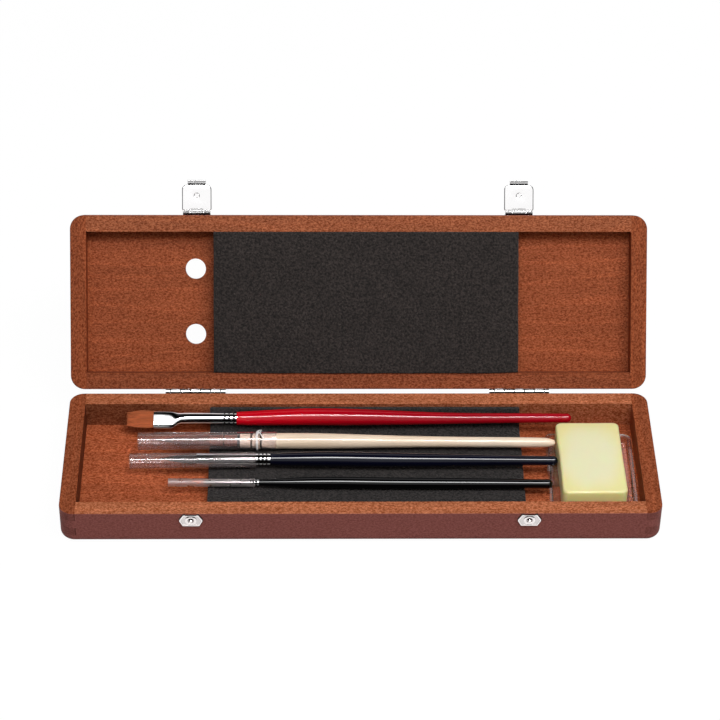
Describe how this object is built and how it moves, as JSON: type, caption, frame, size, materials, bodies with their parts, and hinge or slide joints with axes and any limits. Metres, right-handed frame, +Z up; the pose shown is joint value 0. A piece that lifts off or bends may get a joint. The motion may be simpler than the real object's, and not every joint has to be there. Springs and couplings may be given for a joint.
{
  "type": "brush box with hinged lid",
  "caption": "Slim finger-jointed wooden box, lid open on nailed hinges with hasps, holding artist brushes in foam and a bar of soap in a clear tray.",
  "frame": {"origin": "centre of the base's underside, which stands on the table", "axes": "+X to the right along the case's length, +Y to the hinges at the back, +Z up"},
  "size_m": [0.27, 0.1485, 0.0939],
  "materials": {
    "case_wood": "satin stain, fine grain",
    "floor_wood": "satin stain, fine grain",
    "foam": "matt closed-cell foam",
    "nickel": "bright nickel plate",
    "ferrule_metal": "bright nickel plate",
    "red_lacquer": "high-gloss lacquer",
    "pale_wood": "clear satin varnish",
    "navy_lacquer": "high-gloss lacquer",
    "black_lacquer": "high-gloss lacquer",
    "synthetic_hair": "fine bristles",
    "dark_hair": "fine bristles",
    "clear_plastic": "clear, polished",
    "clear_sleeve": "clear, polished",
    "black_ring": "matt",
    "brass_wire": "fine wound wire",
    "white_thread": "twisted thread",
    "soap": "smooth, waxy"
  },
  "bodies": {
    "base": {"base_front_wall": "case_wood", "base_back_wall": "case_wood", "base_left_wall": "case_wood", "base_right_wall": "case_wood", "base_floor_panel": "floor_wood", "base_foam_pad": "foam", "catch_left": "nickel", "catch_right": "nickel", "hinge_left_base_leaf": "nickel", "hinge_right_base_leaf": "nickel", "hinge_left_pin": "nickel", "hinge_right_pin": "nickel", "hinge_base_nails": "nickel", "soap_tray": "clear_plastic"},
    "lid": {"lid_front_wall": "case_wood", "lid_back_wall": "case_wood", "lid_left_wall": "case_wood", "lid_right_wall": "case_wood", "lid_top_panel": "case_wood", "lid_foam_pad": "foam", "hinge_left_lid_leaf": "nickel", "hinge_right_lid_leaf": "nickel", "hinge_lid_nails": "nickel", "latch_left_plate": "nickel", "latch_right_plate": "nickel", "latch_left_pin": "nickel", "latch_right_pin": "nickel", "latch_nails": "nickel"},
    "left_hasp": {"latch_left_hasp": "nickel"},
    "right_hasp": {"latch_right_hasp": "nickel"},
    "flat_brush": {"flat_brush_handle": "red_lacquer", "flat_brush_ferrule": "ferrule_metal", "flat_brush_hair": "synthetic_hair"},
    "quill_brush": {"quill_brush_handle": "pale_wood", "quill_brush_sleeve": "clear_sleeve", "quill_brush_hair": "dark_hair", "quill_brush_ring": "black_ring", "quill_brush_wires": "brass_wire"},
    "quill_guard": {"quill_guard_tube": "clear_plastic", "quill_guard_thread": "white_thread"},
    "round_brush": {"round_brush_handle": "navy_lacquer", "round_brush_ferrule": "ferrule_metal", "round_brush_hair": "dark_hair"},
    "round_guard": {"round_guard_tube": "clear_plastic"},
    "fine_brush": {"fine_brush_handle": "black_lacquer", "fine_brush_ferrule": "ferrule_metal", "fine_brush_hair": "synthetic_hair"},
    "fine_guard": {"fine_guard_tube": "clear_plastic"},
    "soap_bar": {"soap": "soap"}
  },
  "joints": [
    {"name": "lid_hinge", "type": "hinge", "parent": "base", "child": "lid", "pos_m": [0, 0.04185, 0.01775], "axis": [-1, 0, 0], "range_deg": [-126.5, 0]},
    {"name": "left_hasp_hinge", "type": "hinge", "parent": "lid", "child": "left_hasp", "pos_m": [-0.076, 0.09507, 0.08236], "axis": [-1, 0, 0], "range_deg": [-90, 0]},
    {"name": "right_hasp_hinge", "type": "hinge", "parent": "lid", "child": "right_hasp", "pos_m": [0.0751, 0.09507, 0.08236], "axis": [-1, 0, 0], "range_deg": [-90, 0]},
    {"name": "flat_brush_lift", "type": "slide", "parent": "base", "child": "flat_brush", "axis": [0, 0, 1], "range_m": [0, 0.06]},
    {"name": "quill_brush_lift", "type": "slide", "parent": "base", "child": "quill_brush", "axis": [0, 0, 1], "range_m": [0, 0.06]},
    {"name": "round_brush_lift", "type": "slide", "parent": "base", "child": "round_brush", "axis": [0, 0, 1], "range_m": [0, 0.06]},
    {"name": "fine_brush_lift", "type": "slide", "parent": "base", "child": "fine_brush", "axis": [0, 0, 1], "range_m": [0, 0.06]},
    {"name": "quill_guard_pull", "type": "slide", "parent": "quill_brush", "child": "quill_guard", "axis": [-0.9999, 0.0105, 0], "range_m": [0, 0.024]},
    {"name": "round_guard_pull", "type": "slide", "parent": "round_brush", "child": "round_guard", "axis": [-1, 0.0087, 0], "range_m": [0, 0.021]},
    {"name": "fine_guard_pull", "type": "slide", "parent": "fine_brush", "child": "fine_guard", "axis": [-1, 0.0087, 0], "range_m": [0, 0.038]},
    {"name": "soap_lift", "type": "slide", "parent": "base", "child": "soap_bar", "axis": [0, 0, 1], "range_m": [0, 0.04]}
  ]
}
